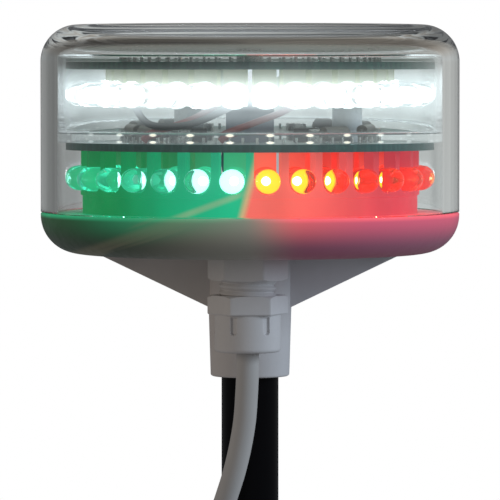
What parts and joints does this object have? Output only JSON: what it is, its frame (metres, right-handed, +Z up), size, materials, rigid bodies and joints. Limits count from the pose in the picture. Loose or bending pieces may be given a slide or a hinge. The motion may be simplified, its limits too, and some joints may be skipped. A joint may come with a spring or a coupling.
{
  "type": "navigation light",
  "caption": "Combined LED navigation light: clear round cover over green, red and white sector LEDs and an anchor ring, on a white base, gusset bracket, cable gland and tube.",
  "frame": {"origin": "centre of the mounting tube's foot, at its lower end face", "axes": "+Z up along the tube; -Y to the bow; +X to the red (port) side, -X to the green (starboard) side"},
  "size_m": [0.088, 0.1077, 0.1979],
  "materials": {
    "clear_polycarbonate": "gloss",
    "led_lens_clear": "gloss",
    "led_lens_green": "gloss",
    "led_lens_red": "gloss",
    "white_housing": "satin",
    "white_nylon": "satin",
    "carrier_white": "satin",
    "circuit_board": "solder mask",
    "spacer_cream": "matt",
    "tinned_lead": "tinned",
    "stainless": "brushed",
    "pillar_blue": "satin",
    "black_rubber": "matt",
    "black_tube": "satin black",
    "cable_sheath": "satin",
    "core_insulation": "satin",
    "wire_red": "satin",
    "wire_black": "satin",
    "tie_black": "satin",
    "chip_black": "matt",
    "resistor_body": "gloss",
    "capacitor_sleeve": "gloss",
    "ferrite": "matt"
  },
  "bodies": {
    "head": {"clear_cover": "clear_polycarbonate", "cover_seal": "black_rubber", "anchor_lens": "clear_polycarbonate", "anchor_board": "circuit_board", "anchor_leds": "led_lens_clear", "anchor_led_spacers": "spacer_cream", "anchor_led_leads": "tinned_lead", "board_pillar": "pillar_blue", "centre_screw": "stainless", "sector_board": "circuit_board", "green_leds": "led_lens_green", "red_leds": "led_lens_red", "stern_leds": "led_lens_clear", "sector_led_spacers": "spacer_cream", "sector_led_leads": "tinned_lead", "led_carrier": "carrier_white", "board_screws": "stainless", "carrier_screws": "stainless", "resistors": "resistor_body", "driver_chips": "chip_black", "capacitors": "capacitor_sleeve", "inductor": "ferrite", "link_wires_red": "wire_red", "link_wire_black": "wire_black", "supply_cores": "core_insulation", "base": "white_housing", "bracket": "white_housing", "bracket_screws": "stainless", "tube_screw": "stainless", "mounting_tube": "black_tube", "gland_body": "white_nylon", "gland_locknut": "white_nylon", "gland_gasket": "black_rubber", "gland_seal": "black_rubber", "cable_entry": "cable_sheath", "cable_run": "cable_sheath", "cable_coil": "cable_sheath", "cable_ends": "core_insulation", "cable_ties": "tie_black"},
    "nut_carriage": {"gland_thrust_ring": "white_nylon"},
    "nut": {"gland_nut": "white_nylon"}
  },
  "joints": [
    {"name": "nut_advance", "type": "slide", "parent": "head", "child": "nut_carriage", "axis": [0, 0, 1], "range_m": [-0.006, 0]},
    {"name": "nut_turn", "type": "hinge", "parent": "nut_carriage", "child": "nut", "pos_m": [-0.00045, -0.0175, 0.136], "axis": [0, 0, 1], "range_deg": [-1440, 0]}
  ],
  "couplings": [
    {"joint": "nut_turn", "follows": "nut_advance", "rad_per_m": 4188.8}
  ]
}
